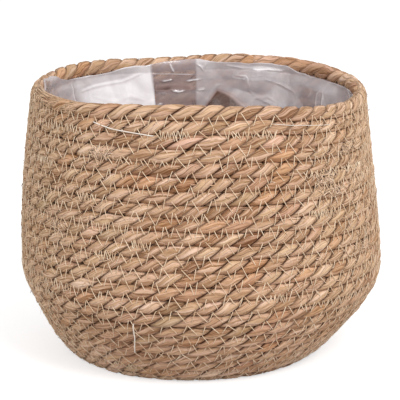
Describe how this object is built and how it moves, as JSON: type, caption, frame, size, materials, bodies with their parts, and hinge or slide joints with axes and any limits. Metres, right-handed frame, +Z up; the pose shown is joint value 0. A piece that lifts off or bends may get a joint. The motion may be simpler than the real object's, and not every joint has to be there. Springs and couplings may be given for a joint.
{
  "type": "seagrass plant basket",
  "caption": "Round-bellied plant basket of coiled, stitched seagrass rope with a flat base, an open mouth drawn in above the belly, and a clear film liner held under the rim.",
  "frame": {"origin": "middle of the round foot, on the surface that the basket stands on", "axes": "+Z up along the basket's axis; -Y towards the pictured side, +X to its right"},
  "size_m": [0.316, 0.3159, 0.2414],
  "materials": {
    "seagrass_base": "two-ply seagrass rope, dry and fibrous, slightly redder brown towards the foot",
    "seagrass_wall": "two-ply twisted seagrass rope in khaki and tan, with orange-brown, pale and grey-green strands, sewn with cream thread",
    "seagrass_rim": "two-ply twisted seagrass rope, tan, its end thinned and sewn down",
    "clear_film": "clear polyethylene film, crumpled, with sharp gloss along its creases"
  },
  "bodies": {
    "root": {"base_coil": "seagrass_base", "wall_coil": "seagrass_wall", "rim_course": "seagrass_rim", "liner": "clear_film"}
  },
  "joints": []
}
